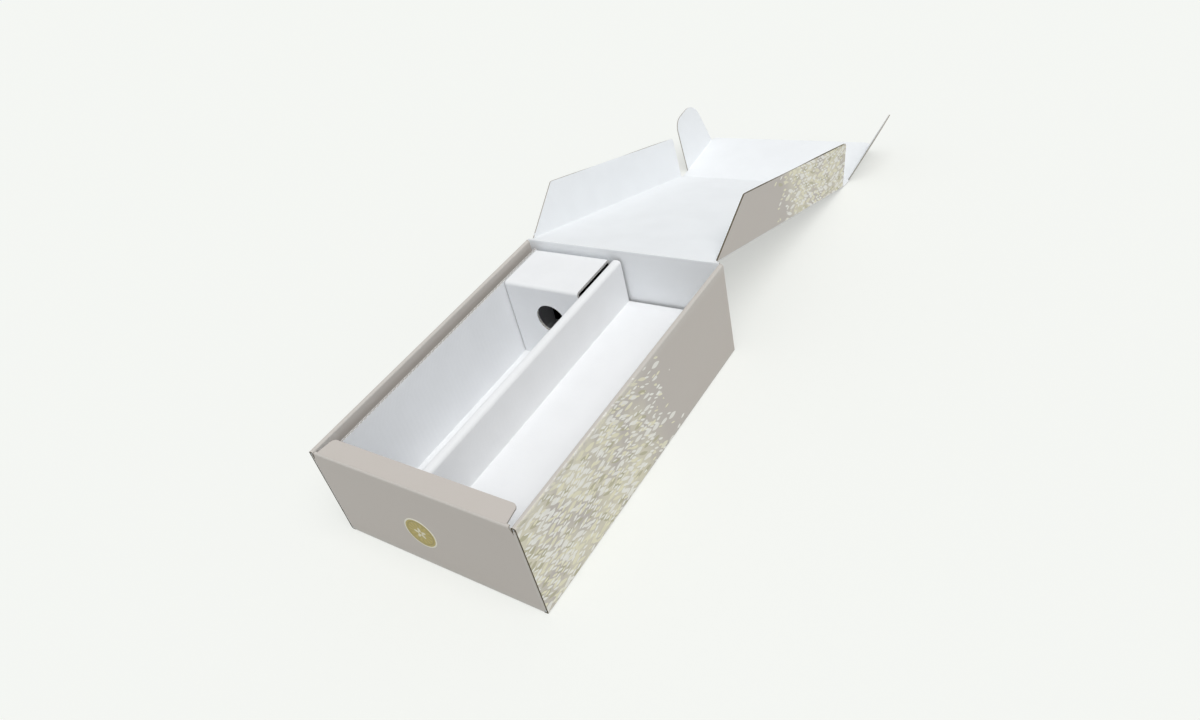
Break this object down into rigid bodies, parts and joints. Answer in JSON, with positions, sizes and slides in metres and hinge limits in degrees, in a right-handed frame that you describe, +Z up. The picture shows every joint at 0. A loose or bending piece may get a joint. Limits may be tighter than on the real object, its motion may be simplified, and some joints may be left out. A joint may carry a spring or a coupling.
{
  "type": "bottle gift carton",
  "caption": "Folded corrugated gift carton with a hinged tuck-in lid standing open, and a folded white insert that makes bottle bays, a raised bed and a neck support.",
  "frame": {"origin": "middle of the tray's underside, on the surface that the carton stands on", "axes": "+X to the right across the carton, +Y from the front wall to the lid's hinge, +Z up"},
  "size_m": [0.2859, 0.8226, 0.1467],
  "materials": {
    "printed_board": "matt taupe print on the outside, white liner inside",
    "white_board": "matt white lined corrugated board",
    "gold_foil": "satin gold foil paper with a cream rim"
  },
  "bodies": {
    "tray": {"carton_tray": "printed_board", "bottle_insert": "white_board", "neck_support": "white_board", "seal_sticker": "gold_foil"},
    "ledge": {"front_ledge": "printed_board"},
    "lid": {"lid_panel": "printed_board"},
    "right_flap": {"lid_right_flap": "printed_board"},
    "left_flap": {"lid_left_flap": "printed_board"},
    "front_flap": {"lid_front_flap": "printed_board"},
    "right_ear": {"right_lock_ear": "printed_board"},
    "left_ear": {"left_lock_ear": "printed_board"}
  },
  "joints": [
    {"name": "lid_hinge", "type": "hinge", "parent": "tray", "child": "lid", "pos_m": [0, 0.1862, 0.113], "axis": [1, 0, 0], "range_deg": [0, 196.6]},
    {"name": "right_flap_fold", "type": "hinge", "parent": "lid", "child": "right_flap", "pos_m": [0.1164, 0.1862, 0.113], "axis": [0, -0.9521, 0.3057], "range_deg": [-90, 0]},
    {"name": "left_flap_fold", "type": "hinge", "parent": "lid", "child": "left_flap", "pos_m": [-0.1164, 0.1862, 0.113], "axis": [0, 0.9521, -0.3057], "range_deg": [0, 15.51]},
    {"name": "front_flap_fold", "type": "hinge", "parent": "lid", "child": "front_flap", "pos_m": [0, 0.53467, 0.0011], "axis": [1, 0, 0], "range_deg": [0, 68.2]},
    {"name": "right_ear_fold", "type": "hinge", "parent": "front_flap", "child": "right_ear", "pos_m": [0.1185, 0.53467, 0.0011], "axis": [0, -0.9959, -0.0906], "range_deg": [0, 30.01]},
    {"name": "left_ear_fold", "type": "hinge", "parent": "front_flap", "child": "left_ear", "pos_m": [-0.1138, 0.53467, 0.0011], "axis": [0, 0.9959, 0.0906], "range_deg": [0, 13.01]},
    {"name": "ledge_fold", "type": "hinge", "parent": "tray", "child": "ledge", "pos_m": [0, -0.1847, 0.1104], "axis": [-1, 0, 0], "range_deg": [0, 88.01]}
  ],
  "couplings": [
    {"joint": "left_flap_fold", "follows": "lid_hinge", "ratio": 0.078839},
    {"joint": "right_ear_fold", "follows": "front_flap_fold", "ratio": 0.43988},
    {"joint": "left_ear_fold", "follows": "front_flap_fold", "ratio": 0.19062},
    {"joint": "ledge_fold", "follows": "front_flap_fold", "ratio": 1.2903}
  ]
}
